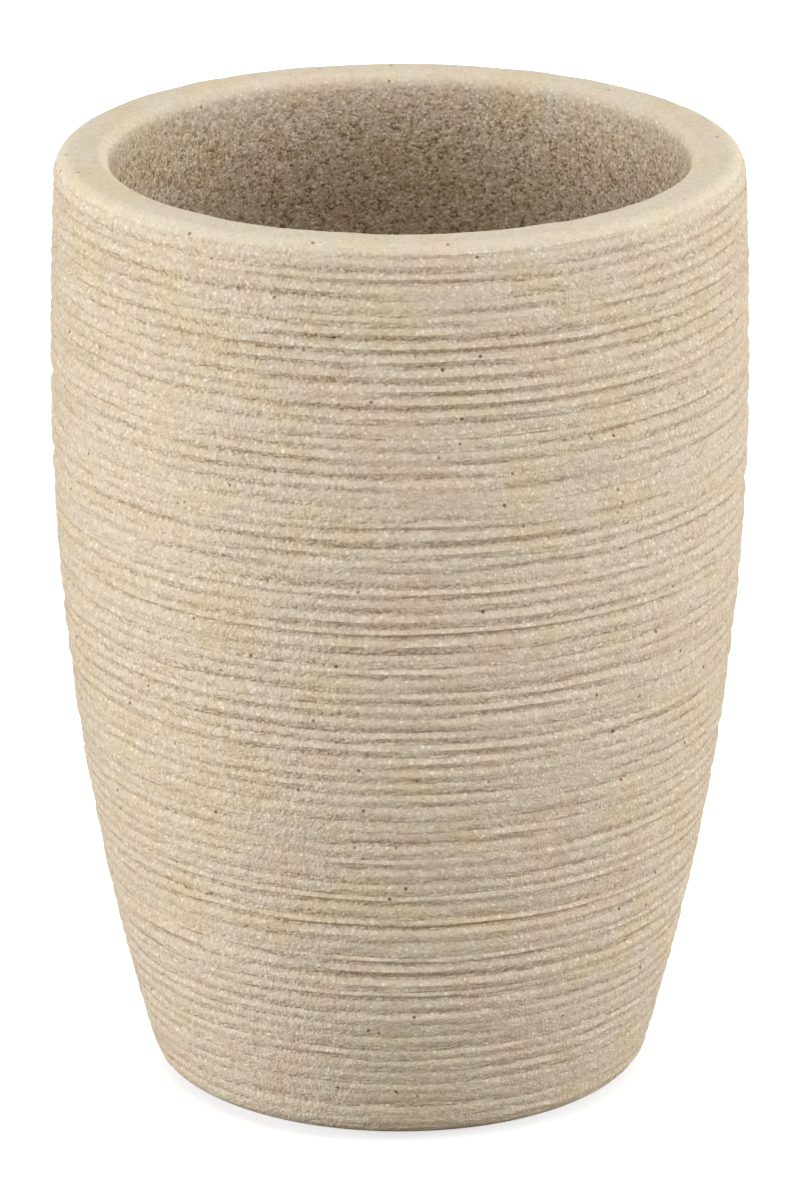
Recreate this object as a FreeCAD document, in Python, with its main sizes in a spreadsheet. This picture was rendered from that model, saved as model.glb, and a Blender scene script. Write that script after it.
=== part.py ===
import FreeCAD, Part
import Sketcher
import math
import os

# Bathroom tumbler: a cup cast in sand-filled resin, combed round the outside, on four anti-slip feet.
# Millimetres, +Z up. The origin is on the cup's axis, on the surface that the feet stand on.

# Driving sizes
SIZES = {
    "body_height": 109.0,  # casting, from its underside to its rim
    "shoulder_height": 28.0,  # from the widest ring up to the rim
    "widest_diameter": 79.8,
    "rim_inset": 0.8,  # how far the wall comes in, on each side, from the widest ring to the rim
    "base_diameter": 56.7,  # where wall and underside would meet, before rounding
    "wall": 7.0,
    "floor_thickness": 8.0,
    "rim_outer_radius": 2.4,
    "rim_inner_radius": 2.2,
    "base_edge_radius": 3.4,
    "floor_corner_radius": 5.0,  # inside, between floor and wall
    "ridge_pitch": 1.56,
    "groove_stray_distance": 0.2,  # how far a comb line strays from even spacing
    "groove_depth": 0.25,
    "groove_depth_variation": 0.06,  # how far a comb line strays from the mean depth
    "comb_skim_depth": 0.05,  # what the comb takes off the crests of the ridges
    "comb_margin_width": 0.6,  # plain band between the combing and the roundings
    "foot_diameter": 10.0,
    "foot_thickness": 2.0,
    "foot_edge_radius": 0.5,  # lower edge of a foot
    "foot_stand_height": 1.0,  # how far a foot stands out of the underside
    "foot_inset": 1.7,  # from the base rounding to the edge of a foot's seat
    "seat_clearance": 0.3,  # round a foot in its seat
    "adhesive_thickness": 0.15,
    "adhesive_inset": 0.2,  # from a foot's edge to its adhesive's edge
}

# Feet, evenly round the cup. The first angle is in degrees from the cup's right-hand side.
FOOT_PLACES = ["back_right", "back_left", "front_left", "front_right"]
FIRST_FOOT_ANGLE = 45
FULL_ANGLE = 360

# Uneven combing: angles in radians from one comb line to the next, which bring no pattern back
SLOW_STRAY_ANGLE = 2.4
FAST_STRAY_ANGLE = 4.1
DEPTH_STRAY_ANGLE = 1.7

# Sizes that several pieces share, as expressions
SEAT_RADIUS = "(Sizes.foot_diameter / 2 + Sizes.seat_clearance)"
SEAT_DEPTH = "Sizes.foot_thickness + Sizes.adhesive_thickness - Sizes.foot_stand_height"
FOOT_CIRCLE = f"(Sizes.base_diameter / 2 - Sizes.base_edge_radius - Sizes.foot_inset - {SEAT_RADIUS})"

# Sketch references: the points of an edge, then the sketch's own origin and upright axis
START, END, CENTRE = range(1, 4)
ORIGIN, UPRIGHT_AXIS = range(-1, -3, -1)

SAME_PLACE = 1e-6

doc = FreeCAD.newDocument("BathroomTumbler")


def make_sheet():
    sheet = doc.addObject("Spreadsheet::Sheet", "Sizes")
    for row, (name, value) in enumerate(SIZES.items(), start=1):
        sheet.set(f"A{row}", name)
        sheet.set(f"B{row}", str(value))
        sheet.setAlias(f"B{row}", name)
    doc.recompute()
    return sheet


def size(name):
    return float(sheet.get(name))


def new_body(label):
    body = doc.addObject("PartDesign::Body", label)
    body.Label = label
    return body


def new_sketch(body, name, role):
    """A sketch on the body's own origin plane with this role."""
    sketch = body.newObject("Sketcher::SketchObject", name)
    planes = [plane for plane in body.Origin.OriginFeatures if plane.Role == role]
    sketch.AttachmentSupport = [(planes[0], "")]
    sketch.MapMode = "FlatFace"
    return sketch


def dimension(sketch, kind, references, value, expression):
    """A dimension that starts at value and follows the expression."""
    index = sketch.addConstraint(Sketcher.Constraint(kind, *references, value))
    sketch.setExpression(f"Constraints[{index}]", expression)


def ring_edge(feature, height, pick):
    """Name of the ring edge at a height whose radius pick chooses, from max or min."""
    rings = {}
    for number, edge in enumerate(feature.Shape.Edges, start=1):
        round_edge = isinstance(edge.Curve, Part.Circle) and edge.isClosed()
        if round_edge and abs(edge.Curve.Center.z - height) < SAME_PLACE:
            rings[edge.Curve.Radius] = f"Edge{number}"
    return rings[pick(rings)]


def add_round(body, base, name, height, pick):
    """Rounds one ring edge by the size of this name."""
    doc.recompute()
    rounding = body.newObject("PartDesign::Fillet", name)
    rounding.Base = (base, [ring_edge(base, height, pick)])
    rounding.setExpression("Radius", f"Sizes.{name}")
    return rounding


def arc_radius(rise, draw_in):
    """Radius of an arc that starts upright and comes in by draw_in over this rise."""
    return (rise**2 + draw_in**2) / (2 * draw_in)


def wall_point(height, inset=0.0):
    """Point of the uncombed wall at a height, or of a surface the inset inside it."""
    widest_radius = size("widest_diameter") / 2
    rise = height - widest_height
    if rise > 0:
        bend = arc_radius(size("shoulder_height"), size("rim_inset"))
    else:
        bend = arc_radius(widest_height - underside, widest_radius - size("base_diameter") / 2)
    radius = widest_radius - bend + math.sqrt((bend - inset) ** 2 - rise**2)
    return FreeCAD.Vector(radius, height, 0)


def wall_arc(low, high, inset=0.0):
    middle = (low + high) / 2
    return Part.Arc(wall_point(low, inset), wall_point(middle, inset), wall_point(high, inset))


def draw_section(sketch):
    """Half the cup's section: two arcs outside, the same two a wall inside them, floor, rim and axis."""
    wall = size("wall")
    floor_top = underside + size("floor_thickness")
    axis_bottom = FreeCAD.Vector(0, underside, 0)
    axis_top = FreeCAD.Vector(0, floor_top, 0)
    outline = [
        Part.LineSegment(axis_bottom, wall_point(underside)),
        wall_arc(underside, widest_height),
        wall_arc(widest_height, rim_top),
        Part.LineSegment(wall_point(rim_top), wall_point(rim_top, wall)),
        wall_arc(widest_height, rim_top, wall),
        wall_arc(floor_top, widest_height, wall),
        Part.LineSegment(wall_point(floor_top, wall), axis_top),
        Part.LineSegment(axis_top, axis_bottom),
    ]
    base, flank, shoulder, rim, shoulder_in, flank_in, floor, axis = sketch.addGeometry(outline)
    joined = [
        (base, END, flank, START),
        (shoulder, END, rim, START),
        (rim, END, shoulder_in, END),
        (shoulder_in, START, flank_in, END),
        (flank_in, START, floor, START),
        (floor, END, axis, START),
        (axis, END, base, START),
        (shoulder_in, CENTRE, shoulder, CENTRE),
        (flank_in, CENTRE, flank, CENTRE),
    ]
    for ends in joined:
        sketch.addConstraint(Sketcher.Constraint("Coincident", *ends))
    sketch.addConstraint(Sketcher.Constraint("Tangent", flank, END, shoulder, START))
    for level in (base, rim, floor):
        sketch.addConstraint(Sketcher.Constraint("Horizontal", level))
    sketch.addConstraint(Sketcher.Constraint("Vertical", axis))
    sketch.addConstraint(Sketcher.Constraint("PointOnObject", base, START, UPRIGHT_AXIS))
    # The flank is upright at the widest ring, outside and inside.
    sketch.addConstraint(Sketcher.Constraint("Horizontal", flank, CENTRE, flank, END))
    sketch.addConstraint(Sketcher.Constraint("Horizontal", shoulder_in, START, shoulder, START))
    measured = [
        ("DistanceY", (ORIGIN, START, base, START), "foot_stand_height", 1),
        ("DistanceX", (ORIGIN, START, base, END), "base_diameter", 0.5),
        ("DistanceX", (ORIGIN, START, flank, END), "widest_diameter", 0.5),
        ("DistanceX", (rim, START, flank, END), "rim_inset", 1),
        ("DistanceY", (base, END, rim, START), "body_height", 1),
        ("DistanceY", (flank, END, rim, START), "shoulder_height", 1),
        ("DistanceX", (shoulder_in, START, shoulder, START), "wall", 1),
        ("DistanceY", (base, START, floor, END), "floor_thickness", 1),
    ]
    for kind, ends, name, share in measured:
        dimension(sketch, kind, ends, share * size(name), f"{share} * Sizes.{name}")


def comb_grooves():
    """Bottoms of the comb lines, from the lowest up: unevenly spaced and unevenly deep."""
    low = underside + size("base_edge_radius") + size("comb_margin_width")
    high = rim_top - size("rim_outer_radius") - size("comb_margin_width")
    count = round((high - low) / size("ridge_pitch"))
    grooves = []
    for line in range(count + 1):
        stray = math.sin(SLOW_STRAY_ANGLE * line) + math.sin(FAST_STRAY_ANGLE * line)
        height = low + line * (high - low) / count + stray * size("groove_stray_distance")
        depth = size("groove_depth") + math.sin(DEPTH_STRAY_ANGLE * line) * size("groove_depth_variation")
        grooves.append(wall_point(height, size("comb_skim_depth") + depth))
    return grooves


def draw_comb(sketch):
    """The comb: a hollow arc for each ridge, a point for each groove, and a back clear of the wall."""
    grooves = comb_grooves()
    edge = []
    for lower, upper in zip(grooves, grooves[1:]):
        crest = wall_point((lower.y + upper.y) / 2, size("comb_skim_depth"))
        edge.append(Part.Arc(lower, crest, upper))
    back_radius = size("widest_diameter") / 2 + size("wall")
    first, last = grooves[0], grooves[-1]
    # Both ends leave the wall at 45 degrees.
    back_low = FreeCAD.Vector(back_radius, first.y - (back_radius - first.x), 0)
    back_high = FreeCAD.Vector(back_radius, last.y + (back_radius - last.x), 0)
    edge.append(Part.LineSegment(last, back_high))
    edge.append(Part.LineSegment(back_high, back_low))
    edge.append(Part.LineSegment(back_low, first))
    for index in sketch.addGeometry(edge):
        sketch.addConstraint(Sketcher.Constraint("Block", index))


def add_seats(body):
    """Four round seats for the feet, cut up into the underside. Returns their pattern."""
    sketch = new_sketch(body, "SeatOutline", "XY_Plane")
    sketch.setExpression(".AttachmentOffset.Base.z", "Sizes.foot_stand_height")
    radius = size("foot_diameter") / 2 + size("seat_clearance")
    reach = size("base_diameter") / 2 - size("base_edge_radius") - size("foot_inset") - radius
    angle = math.radians(FIRST_FOOT_ANGLE)
    centre = FreeCAD.Vector(reach * math.cos(angle), reach * math.sin(angle), 0)
    seat = sketch.addGeometry(Part.Circle(centre, FreeCAD.Vector(0, 0, 1), radius))
    dimension(sketch, "Radius", (seat,), radius, SEAT_RADIUS)
    for kind, value, ratio in (("DistanceX", centre.x, "cos"), ("DistanceY", centre.y, "sin")):
        place = f"{FOOT_CIRCLE} * {ratio}({FIRST_FOOT_ANGLE} deg)"
        dimension(sketch, kind, (ORIGIN, START, seat, CENTRE), value, place)
    pocket = body.newObject("PartDesign::Pocket", "Seat")
    pocket.Profile = sketch
    pocket.Reversed = True
    pocket.setExpression("Length", SEAT_DEPTH)
    doc.recompute()
    pattern = body.newObject("PartDesign::PolarPattern", "Seats")
    pattern.Originals = [pocket]
    pattern.Axis = (sketch, ["N_Axis"])
    pattern.Angle = FULL_ANGLE
    pattern.Occurrences = len(FOOT_PLACES)
    body.Tip = pattern
    return pattern


def make_tumbler_body():
    """The casting: turned, rounded, combed, then recessed for its feet."""
    body = new_body("tumbler_body")
    section = new_sketch(body, "Section", "XZ_Plane")
    draw_section(section)
    blank = body.newObject("PartDesign::Revolution", "Blank")
    blank.Profile = section
    blank.ReferenceAxis = (section, ["V_Axis"])
    blank.Angle = FULL_ANGLE
    rounded = add_round(body, blank, "rim_outer_radius", rim_top, max)
    rounded = add_round(body, rounded, "rim_inner_radius", rim_top, min)
    rounded = add_round(body, rounded, "floor_corner_radius", underside + size("floor_thickness"), max)
    rounded = add_round(body, rounded, "base_edge_radius", underside, max)
    comb = new_sketch(body, "Comb", "XZ_Plane")
    draw_comb(comb)
    combed = body.newObject("PartDesign::Groove", "Combing")
    combed.Profile = comb
    combed.ReferenceAxis = (comb, ["V_Axis"])
    combed.Angle = FULL_ANGLE
    doc.recompute()
    seats = add_seats(body)
    doc.recompute()
    for before, after in ((rounded, combed), (combed, seats)):
        removed = before.Shape.Volume - after.Shape.Volume
        print(f"{after.Label} takes {removed:.1f} cubic mm off the casting")
        if removed <= 0:
            raise RuntimeError(f"{after.Label} cuts nothing")
    return body


def place_under_seat(piece, angle, lift):
    """Puts a piece on the circle of the feet, its underside at the height that lift gives."""
    piece.setExpression(".Placement.Base.x", f"{FOOT_CIRCLE} * cos({angle} deg)")
    piece.setExpression(".Placement.Base.y", f"{FOOT_CIRCLE} * sin({angle} deg)")
    piece.setExpression(".Placement.Base.z", lift)


def make_foot(place, angle):
    """A soft disc with a rounded lower edge."""
    body = new_body(f"foot_{place}")
    sketch = new_sketch(body, "FootOutline", "XY_Plane")
    radius = size("foot_diameter") / 2
    outline = sketch.addGeometry(Part.Circle(FreeCAD.Vector(), FreeCAD.Vector(0, 0, 1), radius))
    sketch.addConstraint(Sketcher.Constraint("Coincident", outline, CENTRE, ORIGIN, START))
    dimension(sketch, "Radius", (outline,), radius, "Sizes.foot_diameter / 2")
    disc = body.newObject("PartDesign::Pad", "Disc")
    disc.Profile = sketch
    disc.setExpression("Length", "Sizes.foot_thickness")
    add_round(body, disc, "foot_edge_radius", 0, max)
    place_under_seat(body, angle, "0")
    return body


def make_adhesive(place, angle):
    """The thin disc that bonds a foot into its seat."""
    disc = doc.addObject("Part::Cylinder", f"foot_adhesive_{place}")
    disc.Label = f"foot_adhesive_{place}"
    disc.setExpression("Radius", "Sizes.foot_diameter / 2 - Sizes.adhesive_inset")
    disc.setExpression("Height", "Sizes.adhesive_thickness")
    place_under_seat(disc, angle, "Sizes.foot_thickness")
    return disc


def check(pieces):
    """Stops before anything is written if an object failed or a piece isn't one sound solid."""
    for item in doc.Objects:
        if {"Invalid", "Error"} & set(item.State):
            raise RuntimeError(f"{item.Label} failed: {item.State}")
    for piece in pieces:
        shape = piece.Shape
        if shape.isNull() or not shape.isValid() or len(shape.Solids) != 1:
            raise RuntimeError(f"{piece.Label} isn't one valid solid")


sheet = make_sheet()
underside = size("foot_stand_height")
rim_top = underside + size("body_height")
widest_height = rim_top - size("shoulder_height")

pieces = [make_tumbler_body()]
for number, place in enumerate(FOOT_PLACES):
    angle = FIRST_FOOT_ANGLE + number * FULL_ANGLE / len(FOOT_PLACES)
    pieces.append(make_foot(place, angle))
    pieces.append(make_adhesive(place, angle))
doc.recompute()
check(pieces)

os.makedirs("parts", exist_ok=True)
for piece in pieces:
    piece.Shape.exportStep(f"parts/{piece.Label}.step")
    print(f"{piece.Label}: {piece.Shape.Volume / 1000:.3f} cubic cm")
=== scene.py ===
# %% [markdown]
# # A combed bathroom tumbler
# The object is one cup, cast in resin that is filled with fine sand. While it was still soft, or in its
# mould's model, the outside was combed round, so it has uneven ridges. The rim and the inside are plain.
# Four soft feet sit in the underside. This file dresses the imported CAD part: the cup gets a finer mesh
# and a sandy material, and the feet and their adhesive keep their CAD shapes.

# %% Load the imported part
import math

import bmesh
import bpy
import numpy as np
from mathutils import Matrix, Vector


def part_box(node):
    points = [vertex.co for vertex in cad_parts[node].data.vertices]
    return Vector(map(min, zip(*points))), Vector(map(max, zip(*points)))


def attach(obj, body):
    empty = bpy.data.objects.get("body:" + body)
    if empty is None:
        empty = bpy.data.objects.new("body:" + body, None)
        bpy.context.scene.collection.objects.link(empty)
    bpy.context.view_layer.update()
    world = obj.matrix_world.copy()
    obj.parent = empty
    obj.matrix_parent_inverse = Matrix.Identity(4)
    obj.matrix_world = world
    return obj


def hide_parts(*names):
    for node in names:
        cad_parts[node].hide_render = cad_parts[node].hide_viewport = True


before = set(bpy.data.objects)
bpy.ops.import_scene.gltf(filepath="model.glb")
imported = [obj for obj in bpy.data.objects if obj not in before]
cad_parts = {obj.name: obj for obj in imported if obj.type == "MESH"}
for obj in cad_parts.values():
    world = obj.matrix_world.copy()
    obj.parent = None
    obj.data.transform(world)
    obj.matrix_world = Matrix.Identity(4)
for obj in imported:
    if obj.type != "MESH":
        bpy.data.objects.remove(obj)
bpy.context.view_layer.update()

# %% [markdown]
# ## The cup's section
# The wall is two arcs that meet, upright, at the widest ring: a long one down to the base and a flatter
# one up to the rim. The inside follows the same two arcs, a wall's thickness further in. Every rounding
# is an arc that touches the wall, so its middle lies on the wall's curve moved in by the rounding's
# radius. Working in millimetres keeps the numbers readable. The overall size is read from the packed
# part. The wall is 0.7 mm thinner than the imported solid's, because the photo's mouth looks that much
# wider at its two ends.

# %% Sizes in millimetres
MM = 0.001
body_low, body_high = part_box("tumbler_body")
UNDERSIDE = body_low.z / MM
RIM_TOP = body_high.z / MM
WIDEST_RADIUS = body_high.x / MM
SHOULDER_RISE = 28.0  # from the widest ring up to the rim
WIDEST_HEIGHT = RIM_TOP - SHOULDER_RISE
RIM_INSET = 0.8  # how far the wall comes in over that rise
BASE_RADIUS = 28.3  # where wall and underside would meet, before rounding
WALL = 6.3
FLOOR_THICKNESS = 8.0
FLOOR_TOP = UNDERSIDE + FLOOR_THICKNESS
RIM_OUTER_RADIUS = 2.4
RIM_INNER_RADIUS = 1.8
BASE_EDGE_RADIUS = 3.4
FLOOR_CORNER_RADIUS = 5.0
print(f"cup from {UNDERSIDE:.2f} to {RIM_TOP:.2f} mm, widest radius {WIDEST_RADIUS:.2f} mm")


# %% The wall's two arcs
def arc_radius(rise, draw_in):
    """Radius of an arc that starts upright and comes in by draw_in over this rise."""
    return (rise**2 + draw_in**2) / (2 * draw_in)


SHOULDER_BEND = arc_radius(RIM_TOP - WIDEST_HEIGHT, RIM_INSET)
FLANK_BEND = arc_radius(WIDEST_HEIGHT - UNDERSIDE, WIDEST_RADIUS - BASE_RADIUS)


def wall_radius(height, inset=0.0):
    """Distance from the axis to the wall's outside, or to a surface the inset inside it."""
    bend = np.where(height > WIDEST_HEIGHT, SHOULDER_BEND, FLANK_BEND)
    return WIDEST_RADIUS - bend + np.sqrt((bend - inset) ** 2 - (height - WIDEST_HEIGHT) ** 2)


def wall_lean(height, inset=0.0):
    """Angle, above level, at which the wall's outside faces."""
    bend = np.where(height > WIDEST_HEIGHT, SHOULDER_BEND, FLANK_BEND)
    return float(np.arcsin((height - WIDEST_HEIGHT) / (bend - inset)))


print(f"flank bends at {FLANK_BEND:.0f} mm, shoulder at {SHOULDER_BEND:.0f} mm")

# %% Roundings at the rim and the base
rim_middle = RIM_TOP - RIM_OUTER_RADIUS
base_middle = UNDERSIDE + BASE_EDGE_RADIUS
rim_start = rim_middle + RIM_OUTER_RADIUS * math.sin(wall_lean(rim_middle, RIM_OUTER_RADIUS))
base_end = base_middle + BASE_EDGE_RADIUS * math.sin(wall_lean(base_middle, BASE_EDGE_RADIUS))


def outside_radius(height):
    """Distance from the axis to the outside, uncombed, with its roundings at the rim and the base."""
    on_rim = np.sqrt(np.maximum(RIM_OUTER_RADIUS**2 - (height - rim_middle) ** 2, 0))
    on_rim = on_rim + wall_radius(rim_middle, RIM_OUTER_RADIUS)
    on_base = np.sqrt(np.maximum(BASE_EDGE_RADIUS**2 - (height - base_middle) ** 2, 0))
    on_base = on_base + wall_radius(base_middle, BASE_EDGE_RADIUS)
    radius = np.where(height > rim_start, on_rim, wall_radius(height))
    return np.where(height < base_end, on_base, radius)


def rounding(height, inset, radius, first, last, steps):
    """Points of an arc about the point at this height and inset, from one angle to another."""
    middle = float(wall_radius(height, inset))
    angles = np.linspace(first, last, steps)
    return [(middle + radius * math.cos(angle), height + radius * math.sin(angle)) for angle in angles]


print(f"plain wall from {base_end:.1f} to {rim_start:.1f} mm, between the roundings")

# %% [markdown]
# ## Comb lines
# The comb left about one line every 1.6 mm, from the base's rounding up onto the rim's. No two are alike:
# they stray from even spacing, wander as they go round, and fade where the comb pressed less. A bump map
# could fake that, but the ridges show on the cup's outline and catch the light from above, so they are
# real geometry. Each line gets its own sum of sine waves round the cup, which always closes on itself.

# %% Unevenness that closes on itself
COLUMNS = 232  # many more would make the mesh too heavy
SEED = 7
around = np.arange(COLUMNS) * 2 * math.pi / COLUMNS
chance = np.random.default_rng(SEED)


def round_the_cup(lines, waves, fall):
    """Smooth unevenness of each line, about 1 strong: waves round the cup, of which short ones fall off."""
    turns = np.arange(1, waves + 1)
    phases = chance.uniform(0, 2 * math.pi, (lines, waves, 1))
    strengths = turns[:, None] ** -fall
    swings = np.sin(turns[:, None] * around + phases) * strengths
    return swings.sum(axis=1) / math.sqrt(np.sum(strengths**2) / 2)


print(f"{COLUMNS} columns, {2 * math.pi * WIDEST_RADIUS / COLUMNS:.2f} mm apart at the widest ring")

# %% Where each comb line runs
RIDGE_PITCH = 1.56
END_MARGIN = 1.4  # from the underside to the lowest line, and from the highest line to the rim's top
STRAY = 0.14
SLOW_STRAY_ANGLE, FAST_STRAY_ANGLE = 2.4, 4.1  # radians from line to line, which bring no pattern back
LINE_WANDER = 0.07
WANDER_WAVES = {"waves": 16, "fall": 0.6}

comb_low = UNDERSIDE + END_MARGIN
comb_high = RIM_TOP - END_MARGIN
ridges = round((comb_high - comb_low) / RIDGE_PITCH)
line_number = np.arange(ridges + 1)
stray = np.sin(SLOW_STRAY_ANGLE * line_number) + np.sin(FAST_STRAY_ANGLE * line_number)
stray[[0, -1]] = 0
line_middle = comb_low + line_number * (comb_high - comb_low) / ridges + stray * STRAY
line_height = line_middle[:, None] + LINE_WANDER * round_the_cup(ridges + 1, **WANDER_WAVES)
spacing = np.diff(line_middle)
print(f"{ridges + 1} comb lines, {spacing.min():.2f} to {spacing.max():.2f} mm apart")

# %% How deep each comb line is
# The comb bit deeper near the top, where the wall stands upright, than near the base.
TOP_DEPTH, BASE_DEPTH = 0.44, 0.21
END_SHARE = 0.45  # of its depth, for the first and the last line
DEPTH_SPREAD = 0.26
SLOW_FADE = 0.36
SLOW_WAVES = {"waves": 14, "fall": 0.3}
QUICK_FADE = 0.14
QUICK_WAVES = {"waves": 80, "fall": 0.1}
SHALLOWEST, DEEPEST = 0.1, 0.75

usual_depth = BASE_DEPTH + (TOP_DEPTH - BASE_DEPTH) * line_number[:, None] / ridges
usual_depth[[0, -1]] *= END_SHARE
own_depth = usual_depth * np.exp(DEPTH_SPREAD * chance.standard_normal((ridges + 1, 1)))
slow_fade = SLOW_FADE * round_the_cup(ridges + 1, **SLOW_WAVES)
quick_fade = QUICK_FADE * round_the_cup(ridges + 1, **QUICK_WAVES)
line_depth = np.clip(own_depth * (1 + slow_fade + quick_fade), SHALLOWEST, DEEPEST)
print(f"comb lines {line_depth.min():.2f} to {line_depth.max():.2f} mm deep")

# %% How far each ridge is sunk
# A few ridges lie lower than the others. They sit in their neighbours' shade and show as dark bands.
SINK, DEEP_SINK, MOST_SINK = 0.05, 0.24, 0.3
DEEP_SHARE = 0.16  # of all ridges
SINK_SPREAD = 0.6
SINK_WAVES = {"waves": 10, "fall": 0.4}

own_sink = np.where(chance.random((ridges, 1)) < DEEP_SHARE, DEEP_SINK, SINK)
ridge_sink = np.clip(own_sink * (1 + SINK_SPREAD * round_the_cup(ridges, **SINK_WAVES)), 0.0, MOST_SINK)
print(f"ridges sunk {ridge_sink.min():.2f} to {ridge_sink.max():.2f} mm")

# %% [markdown]
# ## The cup's mesh
# The mesh is a grid of rows and columns wrapped round the axis. On the combed wall, rows run along each
# comb line and over each ridge, so five rows are enough to show a ridge's rounded back and the sharp line
# beside it. Each row is also a little rough on its own, as a comb drags grains along. The rest of the
# section has few rows, because it is plain. Only the top of the rim dips here and there, by about a tenth
# of a millimetre at most.

# %% Rows of the combed wall
# Shade is painted on the lower half of each ridge, darkest at the comb line below it, where the ridge
# faces down and lies in shade. The mesh carries it along for the material.
RIDGE_ROWS = (0.0, 0.2, 0.45, 0.63, 0.82)  # shares of the way from a ridge's lower line to its upper one
RIDGE_SHADE = (1.0, 0.8, 0.35, 0.1, 0.0)  # shares of the lower line's painted shade, in the same rows
CREST = 0.45
RIDGE_CURVE = 1.15
LEAST_RELIEF = 0.03  # from a comb line out to the crest beside it
RUN_OUT_NEAR, RUN_OUT_FAR = 0.15, 0.35  # beyond the outermost lines, where the combing runs out
RUN_OUT_SHARE = 0.5
SKIM = 0.02  # what the comb takes off at the last row of its run-out

skimmed = np.full(COLUMNS, SKIM)
unshaded = np.zeros(COLUMNS)
heights = [line_height[0] - RUN_OUT_FAR, line_height[0] - RUN_OUT_NEAR]
carved = [skimmed, RUN_OUT_SHARE * line_depth[0]]
painted_line_shade = [unshaded, RUN_OUT_SHARE * line_depth[0]]
for ridge in range(ridges):
    low, high = line_height[ridge], line_height[ridge + 1]
    for share, row_shade in zip(RIDGE_ROWS, RIDGE_SHADE):
        nearest = line_depth[ridge] if share < CREST else line_depth[ridge + 1]
        crest = np.minimum(ridge_sink[ridge], nearest - LEAST_RELIEF)
        from_crest = (CREST - share) / CREST if share < CREST else (share - CREST) / (1 - CREST)
        heights.append(low + share * (high - low))
        carved.append(crest + (nearest - crest) * from_crest**RIDGE_CURVE)
        painted_line_shade.append(row_shade * line_depth[ridge])
heights += [line_height[-1], line_height[-1] + RUN_OUT_NEAR, line_height[-1] + RUN_OUT_FAR]
carved += [line_depth[-1], RUN_OUT_SHARE * line_depth[-1], skimmed]
painted_line_shade += [line_depth[-1], unshaded, unshaded]
print(f"combed wall: {len(heights)} rows of {COLUMNS}")

# %% Grains dragged along by the comb
DRAG = 0.038
DRAG_WAVES = {"waves": 70, "fall": 0.3}
DRAG_CARRIED = 0.5  # share that a row passes to the next

drag = round_the_cup(len(heights), **DRAG_WAVES)
drag = DRAG * (drag + DRAG_CARRIED * np.roll(drag, 1, axis=0))
heights = np.array(heights)
radii = outside_radius(heights) - np.maximum(np.array(carved) + drag, 0)
print(f"dragged grains: {drag.min():.2f} to {drag.max():.2f} mm")

# %% Points of the plain surfaces
PLAIN_BAND = 0.6  # between the combing and the first row of a rounding
BASE_STEPS, RIM_STEPS, INSIDE_STEPS, CORNER_STEPS = 9, 10, 40, 8
FLOOR_RINGS = (0.75, 0.5, 0.25)  # shares of the floor's radius
UP, DOWN, INWARD = math.pi / 2, -math.pi / 2, math.pi

mouth_middle = RIM_TOP - RIM_INNER_RADIUS
mouth_inset = WALL - RIM_INNER_RADIUS
mouth_lean = wall_lean(mouth_middle, mouth_inset)
corner_middle = FLOOR_TOP + FLOOR_CORNER_RADIUS
corner_inset = WALL + FLOOR_CORNER_RADIUS
corner_lean = wall_lean(corner_middle, corner_inset)
inside_high = mouth_middle + RIM_INNER_RADIUS * math.sin(mouth_lean)
inside_low = corner_middle + FLOOR_CORNER_RADIUS * math.sin(corner_lean)
comb_foot = math.asin((comb_low - PLAIN_BAND - base_middle) / BASE_EDGE_RADIUS)
comb_top = math.asin((comb_high + PLAIN_BAND - rim_middle) / RIM_OUTER_RADIUS)

base_edge = rounding(base_middle, BASE_EDGE_RADIUS, BASE_EDGE_RADIUS, DOWN, comb_foot, BASE_STEPS)
rim_edge = rounding(rim_middle, RIM_OUTER_RADIUS, RIM_OUTER_RADIUS, comb_top, UP, RIM_STEPS)
mouth_edge = rounding(mouth_middle, mouth_inset, RIM_INNER_RADIUS, UP, INWARD + mouth_lean, RIM_STEPS)
inside_heights = np.linspace(inside_high, inside_low, INSIDE_STEPS)[1:-1]
inside = [(float(wall_radius(height, WALL)), height) for height in inside_heights]
floor_edge = rounding(corner_middle, corner_inset, FLOOR_CORNER_RADIUS, corner_lean, DOWN, CORNER_STEPS)
floor_rings = [(share * floor_edge[-1][0], FLOOR_TOP) for share in FLOOR_RINGS]
print(f"mouth {2 * inside[0][0]:.1f} mm wide, floor {2 * floor_edge[-1][0]:.1f} mm wide")

# %% Rows of the plain surfaces
RIM_DIP = 0.045
MOST_DIP = 2.5  # times the usual dip
DIP_WAVES = {"waves": 40, "fall": 0.2}
rim_dip = RIM_DIP * np.clip(1 + round_the_cup(1, **DIP_WAVES)[0], 0, MOST_DIP)


def plain_rows(outline):
    """Rows of the grid at these radius and height pairs."""
    return [(np.full(COLUMNS, radius), np.full(COLUMNS, height)) for radius, height in outline]


def dipped_rows(outline, foot):
    """Rows at these pairs, lowered by the rim's dip: fully at the rim's top and not at all below the foot."""
    dipped = []
    for radius, height in outline:
        crown = max(height - foot, 0) / (RIM_TOP - foot)
        dipped.append((np.full(COLUMNS, radius), height - crown * rim_dip))
    return dipped


rows = plain_rows(base_edge)
first_combed = len(rows)
rows += list(zip(radii, heights))
first_rim = len(rows)
rows += dipped_rows(rim_edge, rim_edge[0][1]) + dipped_rows(mouth_edge, mouth_middle)
first_inside = len(rows)
rows += plain_rows(inside + floor_edge + floor_rings)
print(f"{len(rows)} rows in all, rim dips by up to {rim_dip.max():.2f} mm")

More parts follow.
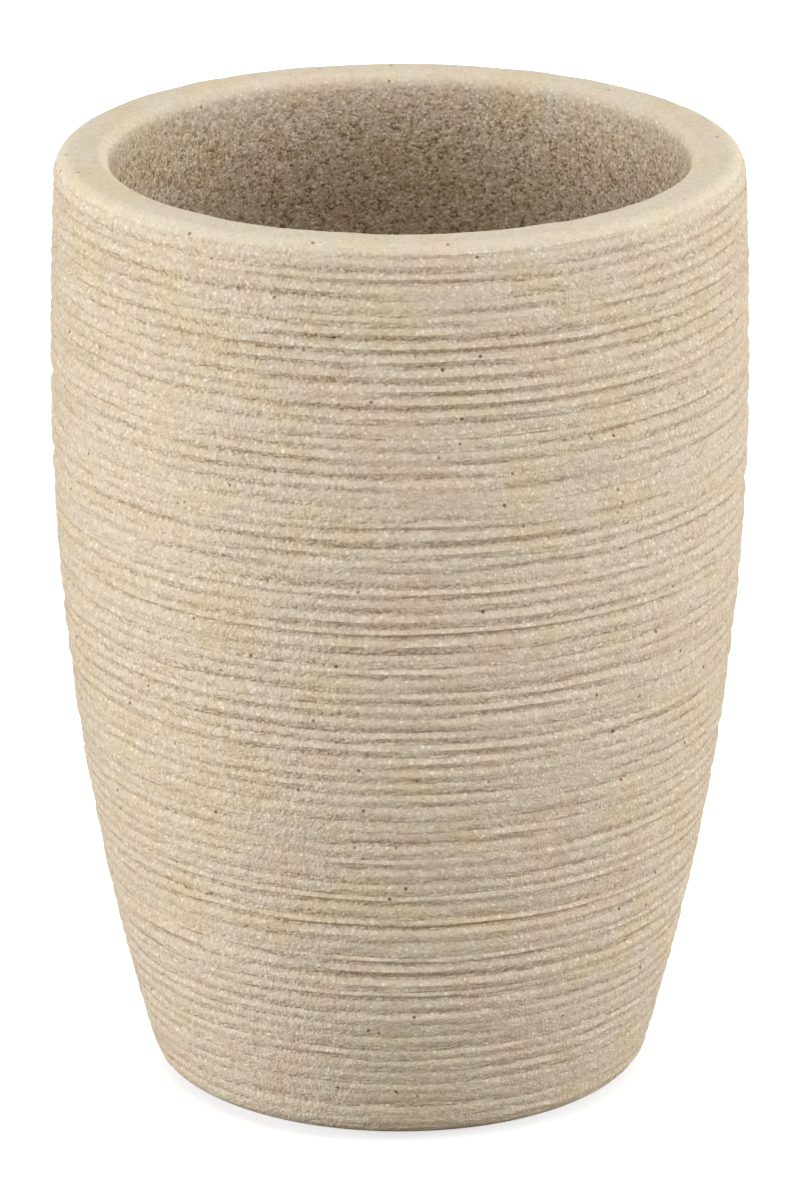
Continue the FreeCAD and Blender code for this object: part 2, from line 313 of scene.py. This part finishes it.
# %% Join the rows into one skin, open below
skin_radius = np.array([radius for radius, height in rows])
skin_height = np.array([height for radius, height in rows])
skin = np.stack([skin_radius * np.cos(around), skin_radius * np.sin(around), skin_height], axis=-1)
skin_points = np.vstack([skin.reshape(-1, 3) * MM, [0, 0, FLOOR_TOP * MM]])
floor_middle = len(skin_points) - 1
grid = np.arange(len(rows) * COLUMNS).reshape(len(rows), COLUMNS)
ahead = np.roll(grid, -1, axis=1)
quads = np.stack([grid[:-1], ahead[:-1], ahead[1:], grid[1:]], axis=-1).reshape(-1, 4)
floor_fan = [(int(here), int(beside), floor_middle) for here, beside in zip(grid[-1], ahead[-1])]

cup_mesh = bpy.data.meshes.new("tumbler_cup")
cup_mesh.from_pydata(skin_points.tolist(), [], quads.tolist() + floor_fan)
print(f"skin: {len(skin_points)} points, {len(cup_mesh.polygons)} faces")

# %% Tell the material where sand stands out and where line shade is painted
# The sand stands out least at the rim and the base, more on the combed wall and most inside. Where it
# stands out, its darker grain colours show more, which is partly painted shade, inside the cup most of all.
RIM_GRAIN, COMBED_GRAIN, INSIDE_GRAIN, BASE_GRAIN = 1.0, 1.15, 1.85, 1.0
SAND_FROM, SAND_TO = -5, 1  # rows, counted from the first inside, over which the sand comes out and the inside's painted shade sets in
MOST_LINE_SHADE = 1.2  # times the painted shade of a line of the top's depth

row_number = np.arange(len(rows)) - first_inside
row_grain = np.interp(row_number, [SAND_FROM, SAND_TO], [RIM_GRAIN, INSIDE_GRAIN])
row_grain[:first_rim] = COMBED_GRAIN
row_grain[:first_combed] = BASE_GRAIN
point_grain = np.append(np.repeat(row_grain, COLUMNS), INSIDE_GRAIN).astype(np.float32)
cup_mesh.attributes.new("grain_standing", "FLOAT", "POINT").data.foreach_set("value", point_grain)
point_line_shade = np.zeros(len(skin_points), np.float32)
combed_points = slice(first_combed * COLUMNS, first_rim * COLUMNS)
point_line_shade[combed_points] = np.clip(np.array(painted_line_shade) / TOP_DEPTH, 0, MOST_LINE_SHADE).ravel()
cup_mesh.attributes.new("comb_line", "FLOAT", "POINT").data.foreach_set("value", point_line_shade)
print(f"sand stands out by {point_grain.min():.2f} to {point_grain.max():.2f}")

# %% [markdown]
# ## The underside
# The base is a flat disc with four shallow round seats, one for each foot. They lie off the axis, so the
# grid can't hold them. Each seat is a short tube with a lid, sunk up into the base, and the disc is
# filled with triangles between its edge and the four tubes. Seats are placed from the feet's own boxes,
# with the same clearance all round.

# %% Sink the seats
SEAT_CLEARANCE = 0.3
SEAT_SIDES = 48
foot_names = sorted(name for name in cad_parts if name.startswith("foot_") and "adhesive" not in name)
cup = bmesh.new()
cup.from_mesh(cup_mesh)
standing_layer = cup.verts.layers.float["grain_standing"]
base_edges = [edge for edge in cup.edges if edge.is_boundary]


def seat_ring(middle, radius, level):
    """New points of the cup in a circle about this middle, at this level."""
    ring = []
    for angle in np.arange(SEAT_SIDES) * 2 * math.pi / SEAT_SIDES:
        across = middle.x + radius * math.cos(angle)
        along = middle.y + radius * math.sin(angle)
        point = cup.verts.new((across, along, level))
        point[standing_layer] = BASE_GRAIN
        ring.append(point)
    return ring


for foot_name in foot_names:
    low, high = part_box(foot_name)
    seat_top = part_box(foot_name.replace("foot_", "foot_adhesive_"))[1].z
    seat_radius = (high.x - low.x) / 2 + SEAT_CLEARANCE * MM
    opening = seat_ring((low + high) / 2, seat_radius, UNDERSIDE * MM)
    lid = seat_ring((low + high) / 2, seat_radius, seat_top)
    for side in range(SEAT_SIDES):
        after = (side + 1) % SEAT_SIDES
        cup.faces.new((opening[side], lid[side], lid[after], opening[after]))
        base_edges.append(cup.edges.get((opening[side], opening[after])))
    cup.faces.new(list(reversed(lid)))
print(f"{len(foot_names)} seats, {seat_radius / MM:.1f} mm in radius")

# %% Fill the base and close the cup
SHARP_ANGLE = math.radians(42)
CM = 0.01
bmesh.ops.triangle_fill(cup, use_beauty=True, edges=base_edges, normal=(0, 0, -1))
bmesh.ops.recalc_face_normals(cup, faces=cup.faces)
for face in cup.faces:
    face.smooth = True
for edge in cup.edges:
    edge.smooth = edge.calc_face_angle(0) < SHARP_ANGLE
open_edges = sum(1 for edge in cup.edges if not edge.is_manifold)
volume = cup.calc_volume() / CM**3
cup.to_mesh(cup_mesh)
cup.free()
print(f"{open_edges} open edges, {volume:.1f} cubic cm, {len(cup_mesh.polygons)} faces")

# %% Put the cup in its place
tumbler_cup = bpy.data.objects.new("tumbler_cup", cup_mesh)
bpy.context.scene.collection.objects.link(tumbler_cup)
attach(tumbler_cup, "root")
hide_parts("tumbler_body")
print("the cup stands for tumbler_body")

# %% [markdown]
# ## Colours and nodes
# Colours are written as sRGB hex values, the way a picker shows them, and Blender wants linear light. One
# function turns them. One more adds a shader node with its settings and links, so that a material reads
# as a list. Patterns are laid out in millimetres on the object, so their scales are real sizes.


# %% Helpers for materials
def linear(hex_colour):
    """Linear red, green, blue and alpha of an sRGB hex value."""
    parts = [int(hex_colour[at : at + 2], 16) / 255 for at in (1, 3, 5)]
    return [p / 12.92 if p <= 0.04045 else ((p + 0.055) / 1.055) ** 2.4 for p in parts] + [1.0]


def add(tree, kind, inputs=None, stops=None, **settings):
    """A node with these settings, colour stops and inputs, each a value or another node's output."""
    made = tree.nodes.new(kind)
    for name, value in settings.items():
        setattr(made, name, value)
    for name, value in (inputs or {}).items():
        if isinstance(value, bpy.types.NodeSocket):
            tree.links.new(value, made.inputs[name])
        else:
            made.inputs[name].default_value = value
    if stops:
        ramp = made.color_ramp
        while len(ramp.elements) < len(stops):
            ramp.elements.new(1.0)
        for element, (place, colour) in zip(ramp.elements, stops):
            element.position = place
            element.color = linear(colour)
    return made


def blank_material(name):
    """A material with no nodes yet, and its node tree."""
    material = bpy.data.materials.new(name)
    material.use_nodes = True
    material.node_tree.nodes.clear()
    return material, material.node_tree


def place_in_mm(tree):
    """The shaded point's place on the object, in millimetres."""
    place = add(tree, "ShaderNodeTexCoord").outputs["Object"]
    return add(tree, "ShaderNodeVectorMath", {0: place, "Scale": 1 / MM}, operation="SCALE").outputs[0]


# Places of a colour Mix node's sockets, whose names it uses more than once
SHARE, UNDER, OVER = 0, 6, 7
MIXED = 2
print(f"middle grey #808080 is {linear('#808080')[0]:.3f} in linear light")

# %% [markdown]
# ## Sand-filled resin
# The casting is polyester resin packed with fine quartz sand, and its surface is matte. To the eye it is
# a mass of pale grains about a third of a millimetre across, with some cream and tan ones among them. A
# film of resin veils them most at the rim and the base, less on the combed wall and hardly at all inside,
# so the inside looks coarse. Where the grains show, the sand is also darker: that is painted shade, for
# the cup's hollow and the pits between grains. A picture of sand would stretch over the ridges. Cells of a
# Voronoi pattern fill space and are cut by the surface, as real grains are, and each has its own colour and
# its own dome.

# %% Start the resin
resin, resin_tree = blank_material("sand_filled_resin")
at = place_in_mm(resin_tree)
standing = add(resin_tree, "ShaderNodeAttribute", attribute_name="grain_standing").outputs["Fac"]
comb_line = add(resin_tree, "ShaderNodeAttribute", attribute_name="comb_line").outputs["Fac"]
print("the resin reads where the sand stands out and where the comb lines are")

# %% Grains of sand
GRAIN = 0.32
CLUMP = 1.1
CLUMP_MIDDLE = 0.5  # the noise's own middle, taken off so that clumps darken as often as they lighten
# The colours are the grains' own; the dark brown end also stands in for painted shade in the pits between
# them.
GRAIN_COLOURS = [(0.0, "#7f6847"), (0.25, "#c2ac8b"), (0.8, "#ddcdb6"), (1.0, "#f5ecdd")]
grains = add(resin_tree, "ShaderNodeTexVoronoi", {"Vector": at, "Scale": 1 / GRAIN})
pick = add(resin_tree, "ShaderNodeSeparateColor", {"Color": grains.outputs["Color"]}).outputs["Red"]
clumps = add(
    resin_tree,
    "ShaderNodeTexNoise",
    {"Vector": at, "Scale": 1 / CLUMP, "Detail": 2.0, "Roughness": 0.6},
).outputs["Fac"]
gathered = add(resin_tree, "ShaderNodeMath", {0: pick, 1: clumps}, operation="ADD").outputs[0]
shade = add(resin_tree, "ShaderNodeMath", {0: gathered, 1: CLUMP_MIDDLE}, operation="SUBTRACT").outputs[0]
grain_colour = add(resin_tree, "ShaderNodeValToRGB", {"Fac": shade}, stops=GRAIN_COLOURS).outputs["Color"]
print(f"sand grains {GRAIN} mm across, in clumps of {CLUMP} mm")

# %% The film of resin over the sand, and painted shade inside
VEILED_SAND = "#dcd0bc"
VEIL_FALL = 3.0  # power by which the veil thins as the sand stands out
BARE_AND_SHADED_SHARE = 0.13  # how much of a grain's own colour, with its painted shade, shows where the sand stands out by 1
BLOTCH = 9.0
BLOTCH_TINTS = [(0.35, "#fffaf6"), (0.5, "#ffffff"), (0.65, "#fefbf1")]
# The grains' colours are darker on the whole than the veiled sand, so where they show most, inside the cup,
# the sand is darker: that is painted shade of the hollow and of the pits between grains.
bare_and_shaded = add(resin_tree, "ShaderNodeMath", {0: standing, 1: VEIL_FALL}, operation="POWER").outputs[0]
bare_and_shaded_share = add(
    resin_tree,
    "ShaderNodeMath",
    {0: bare_and_shaded, 1: BARE_AND_SHADED_SHARE},
    operation="MULTIPLY",
    use_clamp=True,
).outputs[0]
veiled_and_shaded = add(
    resin_tree,
    "ShaderNodeMix",
    {SHARE: bare_and_shaded_share, UNDER: linear(VEILED_SAND), OVER: grain_colour},
    data_type="RGBA",
).outputs[MIXED]
blotches = add(resin_tree, "ShaderNodeTexNoise", {"Vector": at, "Scale": 1 / BLOTCH, "Detail": 2.0})
tint = add(resin_tree, "ShaderNodeValToRGB", {"Fac": blotches.outputs["Fac"]}, stops=BLOTCH_TINTS)
tinted = add(
    resin_tree,
    "ShaderNodeMix",
    {SHARE: 1.0, UNDER: veiled_and_shaded, OVER: tint.outputs["Color"]},
    data_type="RGBA",
    blend_type="MULTIPLY",
).outputs[MIXED]
print(f"faint blotches {BLOTCH} mm across")

# %% [markdown]
# ## Painted line shade, quartz and specks
# Three things lie over the sand's own colour. Brown shade is painted in the comb lines and on the lower
# half of each ridge, which faces down into shade; darker grains get more of it and the palest none, so
# the lines look broken. Clear quartz grains show as pale dots wherever the resin leaves them uncovered. A
# few dark or rusty grains lie far apart. Each dot is the core of a Voronoi cell, so the cell's size sets
# how far apart the dots are.

# %% Painted shade in the comb lines
# Brown painted shade for the comb lines and the down-facing lower halves of the ridges, which lie in shade.
LINE_SHADE_COLOUR = "#8a6b36"
DARK_GRAIN_SHADE, PALE_GRAIN_SHADE = 0.45, -0.25  # below 0 a grain gets no painted shade
shade_by_grain = add(
    resin_tree,
    "ShaderNodeMapRange",
    {"Value": pick, "To Min": DARK_GRAIN_SHADE, "To Max": PALE_GRAIN_SHADE},
)
line_shade_share = add(
    resin_tree,
    "ShaderNodeMath",
    {0: comb_line, 1: shade_by_grain.outputs["Result"]},
    operation="MULTIPLY",
    use_clamp=True,
).outputs[0]
line_shaded = add(
    resin_tree,
    "ShaderNodeMix",
    {SHARE: line_shade_share, UNDER: tinted, OVER: linear(LINE_SHADE_COLOUR)},
    data_type="RGBA",
).outputs[MIXED]
# The brown in the comb lines is painted shade.
print("dust lies in the comb lines")

# %% Quartz grains
QUARTZ = "#fbf4e8"
QUARTZ_SPACING = 0.85
QUARTZ_CORE, QUARTZ_EDGE = 0.16, 0.3  # shares of the spacing
QUARTZ_STRENGTH = 0.5
COVERED_AT = 0.95  # how far the sand stands out where resin covers the quartz
COVERED_SHARE = 0.15
quartz = add(resin_tree, "ShaderNodeTexVoronoi", {"Vector": at, "Scale": 1 / QUARTZ_SPACING})
quartz_dot = add(
    resin_tree,
    "ShaderNodeMapRange",
    {
        "Value": quartz.outputs["Distance"],
        "From Min": QUARTZ_CORE,
        "From Max": QUARTZ_EDGE,
        "To Min": QUARTZ_STRENGTH,
        "To Max": 0.0,
    },
)
uncovered = add(
    resin_tree,
    "ShaderNodeMapRange",
    {"Value": standing, "From Min": COVERED_AT, "From Max": COMBED_GRAIN, "To Min": COVERED_SHARE},
)
quartz_share = add(
    resin_tree,
    "ShaderNodeMath",
    {0: quartz_dot.outputs["Result"], 1: uncovered.outputs["Result"]},
    operation="MULTIPLY",
).outputs[0]
glinting = add(
    resin_tree,
    "ShaderNodeMix",
    {SHARE: quartz_share, UNDER: line_shaded, OVER: linear(QUARTZ)},
    data_type="RGBA",
).outputs[MIXED]
print(f"quartz about {QUARTZ_SPACING} mm apart")

# %% Dark and rusty specks
SPECK_SPACING = 3.0
SPECK_CORE, SPECK_EDGE = 0.05, 0.09  # shares of the spacing
SPECK_STRENGTH = 0.9
SPECK_COLOURS = [(0.0, "#5b4a39"), (0.6, "#8a755f"), (0.92, "#a0745c"), (1.0, "#b5a48c")]
specks = add(resin_tree, "ShaderNodeTexVoronoi", {"Vector": at, "Scale": 1 / SPECK_SPACING})
speck_dot = add(
    resin_tree,
    "ShaderNodeMapRange",
    {
        "Value": specks.outputs["Distance"],
        "From Min": SPECK_CORE,
        "From Max": SPECK_EDGE,
        "To Min": SPECK_STRENGTH,
        "To Max": 0.0,
    },
)
speck_pick = add(resin_tree, "ShaderNodeSeparateColor", {"Color": specks.outputs["Color"]}).outputs["Green"]
speck_colour = add(resin_tree, "ShaderNodeValToRGB", {"Fac": speck_pick}, stops=SPECK_COLOURS)
speckled = add(
    resin_tree,
    "ShaderNodeMix",
    {SHARE: speck_dot.outputs["Result"], UNDER: glinting, OVER: speck_colour.outputs["Color"]},
    data_type="RGBA",
).outputs[MIXED]
print(f"specks about {SPECK_SPACING} mm apart")

# %% [markdown]
# ## The sand's relief
# The sand is rough to the touch. Each grain is a low dome, clumps of grains rise and fall together, and
# the comb drew the grains in its lines out into short level streaks. These are too fine for the mesh, so
# three bumps are laid over one another, the finest first. Matte sand scatters nearly all its light, so
# the resin's own gloss is off.

# %% Grains, clumps and streaks in relief
GRAIN_RELIEF, CLUMP_RELIEF, STREAK_RELIEF = 0.07, 0.2, 0.3
STREAK_LONG, STREAK_HIGH = 1.5, 0.45
dome = add(resin_tree, "ShaderNodeMath", {0: pick, 1: grains.outputs["Distance"]}, operation="SUBTRACT")
stretch = (1 / STREAK_LONG, 1 / STREAK_LONG, 1 / STREAK_HIGH)
stretched = add(resin_tree, "ShaderNodeVectorMath", {0: at, 1: stretch}, operation="MULTIPLY").outputs[0]
streaks = add(resin_tree, "ShaderNodeTexNoise", {"Vector": stretched, "Scale": 1.0, "Detail": 1.0})
reliefs = [
    (dome.outputs[0], standing, GRAIN_RELIEF),
    (clumps, standing, CLUMP_RELIEF),
    (streaks.outputs["Fac"], comb_line, STREAK_RELIEF),
]
normal = {}
for pattern, strength, relief in reliefs:
    raised = add(resin_tree, "ShaderNodeMath", {0: pattern, 1: strength}, operation="MULTIPLY")
    bumpy = {"Height": raised.outputs[0], "Strength": 1.0, "Distance": relief * MM}
    bump = add(resin_tree, "ShaderNodeBump", {**bumpy, **normal})
    normal = {"Normal": bump.outputs["Normal"]}
print(f"{len(reliefs)} bumps, {GRAIN_RELIEF} to {STREAK_RELIEF} mm high")

# %% The resin's surface
surface = {
    "Base Color": speckled,
    "Normal": normal["Normal"],
    "Roughness": 0.85,
    "IOR": 1.5,
    "Specular IOR Level": 0.0,
}
resin_skin = add(resin_tree, "ShaderNodeBsdfPrincipled", surface)
add(resin_tree, "ShaderNodeOutputMaterial", {"Surface": resin_skin.outputs["BSDF"]})
cup_mesh.materials.append(resin)
print(f"resin of {len(resin_tree.nodes)} nodes")

# %% [markdown]
# ## Feet and adhesive
# The feet are soft bumpers of cast polyurethane: cloudy white, with a faint haze that lets light in a
# little way. A thin film of acrylic adhesive, yellower and smoother, holds each in its seat. Their CAD
# shapes are right as they are, so they only get materials. Both are clouded plastics, so one function
# makes both.

# %% Polyurethane and acrylic
HAZE_RELIEF = 0.02
HAZE_STRENGTH = 0.4
LIGHT_SHARE = 0.4  # of the light, which goes in and comes out again nearby
LIGHT_REACH = (1.0, 1.0, 0.9)  # how far red, green and blue go in


def clouded_plastic(name, pale, deep, roughness, haze):
    """A soft plastic whose colour drifts between two, in clouds of this size."""
    material, tree = blank_material(name)
    cloud = add(tree, "ShaderNodeTexNoise", {"Vector": place_in_mm(tree), "Scale": 1 / haze, "Detail": 4.0})
    colour = add(tree, "ShaderNodeValToRGB", {"Fac": cloud.outputs["Fac"]}, stops=[(0.3, deep), (0.7, pale)])
    waviness = {"Height": cloud.outputs["Fac"], "Strength": HAZE_STRENGTH, "Distance": HAZE_RELIEF * MM}
    wavy = add(tree, "ShaderNodeBump", waviness)
    surface = {
        "Base Color": colour.outputs["Color"],
        "Normal": wavy.outputs["Normal"],
        "Roughness": roughness,
        "IOR": 1.5,
        "Subsurface Weight": LIGHT_SHARE,
        "Subsurface Radius": [reach * MM for reach in LIGHT_REACH],
    }
    skin = add(tree, "ShaderNodeBsdfPrincipled", surface)
    add(tree, "ShaderNodeOutputMaterial", {"Surface": skin.outputs["BSDF"]})
    return material


polyurethane = clouded_plastic("cast_polyurethane", "#dddcd6", "#cbcac2", roughness=0.45, haze=1.5)
acrylic = clouded_plastic("acrylic_adhesive", "#e2dfd0", "#d3cfbc", roughness=0.35, haze=0.6)
for name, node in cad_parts.items():
    if name.startswith("foot_"):
        node.data.materials.clear()
        node.data.materials.append(acrylic if "adhesive" in name else polyurethane)
print("feet and adhesive have their materials")

# %% [markdown]
# ## Camera
# The picture looks down on the cup by about 19 degrees from nearly a metre away, through a long lens, so
# the sides hardly converge. The camera aims at a point on the cup's axis, a little above its middle. The
# lamps will aim at the same point, so one function places both.

# %% Camera
AIM = Vector((0, 0, 57.5 * MM))
CAMERA_RISE = 18.92
CAMERA_DISTANCE = 873 * MM
LENS, SENSOR = 232.0, 36.0


def face_the_cup(thing, turn, rise, distance):
    """Put a camera or a lamp this far from the aim, so many degrees round and up, looking at it."""
    turn = math.radians(turn)
    rise = math.radians(rise)
    out = Vector((math.sin(turn) * math.cos(rise), -math.cos(turn) * math.cos(rise), math.sin(rise)))
    thing.location = AIM + out * distance
    thing.rotation_euler = (-out).to_track_quat("-Z", "Y").to_euler()
    bpy.context.scene.collection.objects.link(thing)


camera = bpy.data.objects.new("camera", bpy.data.cameras.new("camera"))
camera.data.sensor_width = SENSOR
camera.data.lens = LENS
face_the_cup(camera, 0, CAMERA_RISE, CAMERA_DISTANCE)
bpy.context.scene.camera = camera
print("camera at", [round(value, 3) for value in camera.location])

# %% [markdown]
# ## Floor and light
# The cup stands on a wide white sweep. For the camera the sweep also glows, a little less near the cup,
# where its shadow has to show, and up to white further off. A sweep as white as that would throw too much
# light back up the cup, so for light on its way round it is a dim brown. Seven soft boxes stand round the
# cup. Those at its sides are strongest, so its front is its darkest part and the comb lines show best
# there.


# %% White sweep
def seen_directly(tree):
    """1 for what the camera sees, straight or in gloss or glass, and 0 for light on its way round."""
    seen = 0.0
    rays = add(tree, "ShaderNodeLightPath").outputs
    for kind in ("Is Camera Ray", "Is Glossy Ray", "Is Transmission Ray"):
        seen = add(tree, "ShaderNodeMath", {0: seen, 1: rays[kind]}, operation="MAXIMUM").outputs[0]
    return seen


WHITE, PAPER, DIM_PAPER = "#ffffff", "#e9e9e8", "#685849"
GLOW_NEAR, GLOW_FAR = 0.1, 0.5  # metres from the cup's axis
NEAR_GLOW, FAR_GLOW = 0.65, 1.0
sweep, sweep_tree = blank_material("white_sweep")
floor_place = add(sweep_tree, "ShaderNodeTexCoord").outputs["Object"]
away = add(sweep_tree, "ShaderNodeVectorMath", {0: floor_place}, operation="LENGTH").outputs["Value"]
glow_range = {"From Min": GLOW_NEAR, "From Max": GLOW_FAR, "To Min": NEAR_GLOW, "To Max": FAR_GLOW}
glow_strength = add(sweep_tree, "ShaderNodeMapRange", {"Value": away, **glow_range}).outputs["Result"]
glow = add(sweep_tree, "ShaderNodeEmission", {"Color": linear(WHITE), "Strength": glow_strength}).outputs[0]
paper = add(sweep_tree, "ShaderNodeBsdfDiffuse", {"Color": linear(PAPER)}).outputs[0]
dim_paper = add(sweep_tree, "ShaderNodeBsdfDiffuse", {"Color": linear(DIM_PAPER)}).outputs[0]
lifted = add(sweep_tree, "ShaderNodeAddShader", {0: paper, 1: glow}).outputs[0]
shown = add(sweep_tree, "ShaderNodeMixShader", {0: seen_directly(sweep_tree), 1: dim_paper, 2: lifted})
add(sweep_tree, "ShaderNodeOutputMaterial", {"Surface": shown.outputs[0]})
print(f"sweep glows from {NEAR_GLOW} near the cup to {FAR_GLOW} away from it")

# %% Floor
FLOOR_HALF = 3.0  # metres
floor_corners = [(-1, -1), (1, -1), (1, 1), (-1, 1)]
floor_mesh = bpy.data.meshes.new("floor")
floor_mesh.from_pydata([(x * FLOOR_HALF, y * FLOOR_HALF, 0) for x, y in floor_corners], [], [(0, 1, 2, 3)])
floor_mesh.materials.append(sweep)
floor = bpy.data.objects.new("floor", floor_mesh)
bpy.context.scene.collection.objects.link(floor)
print(f"floor {2 * FLOOR_HALF:.0f} m square")

# %% Soft boxes
# name: degrees round from the camera (to its right), degrees up, watts
SOFT_BOXES = {
    "left": (-75, 3, 7.5),
    "left_front": (-45, 5, 5.4),
    "right": (75, 3, 9.4),
    "right_high": (75, 25, 1.9),
    "above_back": (180, 70, 4.0),
    "above_front": (0, 65, 2.2),
    "back": (180, 8, 4.0),
}
BOX_DISTANCE, BOX_WIDTH, BOX_HEIGHT = 0.9, 0.5, 0.6  # metres
for name, (turn, rise, watts) in SOFT_BOXES.items():
    lamp = bpy.data.lights.new(f"soft_box_{name}", "AREA")
    lamp.shape = "RECTANGLE"
    lamp.size = BOX_WIDTH
    lamp.size_y = BOX_HEIGHT
    lamp.energy = watts
    soft_box = bpy.data.objects.new(f"soft_box_{name}", lamp)
    soft_box.visible_camera = False
    face_the_cup(soft_box, turn, rise, BOX_DISTANCE)
print(f"{len(SOFT_BOXES)} soft boxes")

# %% Backdrop
# The world is white to look at, and throws no light on the cup.
world = bpy.data.worlds.new("studio")
world.use_nodes = True
world.node_tree.nodes.clear()
backdrop_light = {"Color": linear(WHITE), "Strength": seen_directly(world.node_tree)}
backdrop = add(world.node_tree, "ShaderNodeBackground", backdrop_light)
add(world.node_tree, "ShaderNodeOutputWorld", {"Surface": backdrop.outputs[0]})
bpy.context.scene.world = world
bpy.context.scene.view_settings.view_transform = "Standard"
print("white backdrop")
